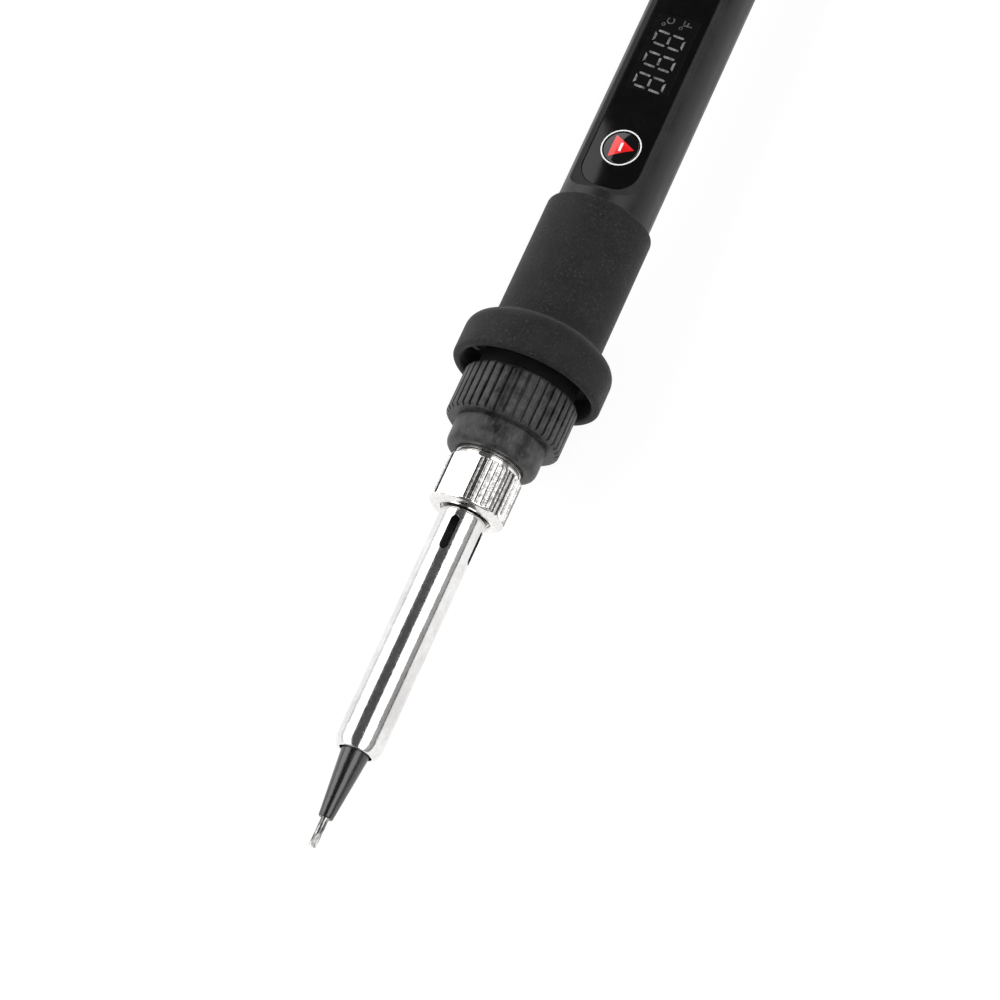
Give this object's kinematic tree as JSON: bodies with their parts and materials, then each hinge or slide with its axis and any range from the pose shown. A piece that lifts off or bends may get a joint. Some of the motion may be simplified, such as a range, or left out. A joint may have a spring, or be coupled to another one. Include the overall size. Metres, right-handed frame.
{
  "type": "soldering iron",
  "caption": "Pen-shaped soldering iron with a fine chisel tip, slim steel barrel, knurled nut, ribbed collar, rubber finger guard and a handle with a digital temperature panel.",
  "frame": {"origin": "on the tool's axis, at the middle of the rubber grip's straight sleeve", "axes": "+X along the tool towards the cord inlet, so the tip points to -X; +Z out of the display panel; +Y towards the top of the digits"},
  "size_m": [0.233, 0.0264, 0.0264],
  "materials": {
    "tip_coating": "dull black coating, tinned bit",
    "polished_steel": "polished",
    "plated_brass": "nickel plated",
    "collar_plastic": "satin, dusty",
    "heater_ceramic": "fired alumina",
    "base_ceramic": "pressed, matt",
    "lead_wire": "tinned",
    "spring_brass": "stamped",
    "grip_rubber": "fine grain",
    "handle_plastic": "fine moulded grain",
    "panel_gloss": "high gloss",
    "white_ink": "printed",
    "red_ink": "printed",
    "lcd_cell": "gloss",
    "lcd_ink": "gloss",
    "button_plastic": "high gloss dome",
    "plunger_plastic": "moulded",
    "switch_body": "moulded",
    "board_green": "solder mask",
    "chip_plastic": "moulded",
    "capacitor_sleeve": "shrink sleeve",
    "resistor_body": "lacquered",
    "terminal_green": "moulded",
    "connector_rubber": "layered elastomer",
    "gland_rubber": "matt",
    "clamp_plastic": "moulded",
    "screw_steel": "zinc plated"
  },
  "bodies": {
    "handle": {"handle_tube": "handle_plastic", "grip_sleeve": "grip_rubber", "display_panel": "panel_gloss", "button_rings": "white_ink", "lcd_module": "lcd_cell", "lcd_segments": "lcd_ink", "unit_marks": "lcd_ink", "lcd_connector": "connector_rubber", "heater_rod": "heater_ceramic", "heater_base": "base_ceramic", "heater_leads": "lead_wire", "earth_spring": "spring_brass", "tact_switches": "switch_body", "circuit_board": "board_green", "controller_chip": "chip_plastic", "triac": "chip_plastic", "filter_capacitor": "capacitor_sleeve", "resistors": "resistor_body", "terminal_block": "terminal_green", "rear_cap": "handle_plastic", "cap_screw": "screw_steel", "cord_gland": "gland_rubber", "cord_clamp": "clamp_plastic", "clamp_screws": "screw_steel"},
    "collar": {"ribbed_collar": "collar_plastic", "thread_bush": "plated_brass"},
    "barrel_unit": {"barrel": "polished_steel", "soldering_tip": "tip_coating"},
    "nut": {"barrel_nut": "polished_steel"},
    "minus_key": {"minus_button": "button_plastic", "minus_triangle": "red_ink", "minus_sign": "white_ink", "minus_plunger": "plunger_plastic"},
    "plus_key": {"plus_button": "button_plastic", "plus_triangle": "red_ink", "plus_sign": "white_ink", "plus_plunger": "plunger_plastic"}
  },
  "joints": [
    {"name": "collar_turn", "type": "hinge", "parent": "handle", "child": "collar", "pos_m": [-0.0243, 0, 0], "axis": [1, 0, 0], "continuous": true},
    {"name": "barrel_pull", "type": "slide", "parent": "collar", "child": "barrel_unit", "axis": [-1, 0, 0], "range_m": [0, 0.045]},
    {"name": "nut_turn", "type": "hinge", "parent": "barrel_unit", "child": "nut", "pos_m": [-0.0418, 0, 0], "axis": [1, 0, 0], "continuous": true},
    {"name": "minus_press", "type": "slide", "parent": "handle", "child": "minus_key", "axis": [0, 0, -1], "range_m": [0, 0.00035], "stiffness_N_per_m": 1500},
    {"name": "plus_press", "type": "slide", "parent": "handle", "child": "plus_key", "axis": [0, 0, -1], "range_m": [0, 0.00035], "stiffness_N_per_m": 1500}
  ]
}
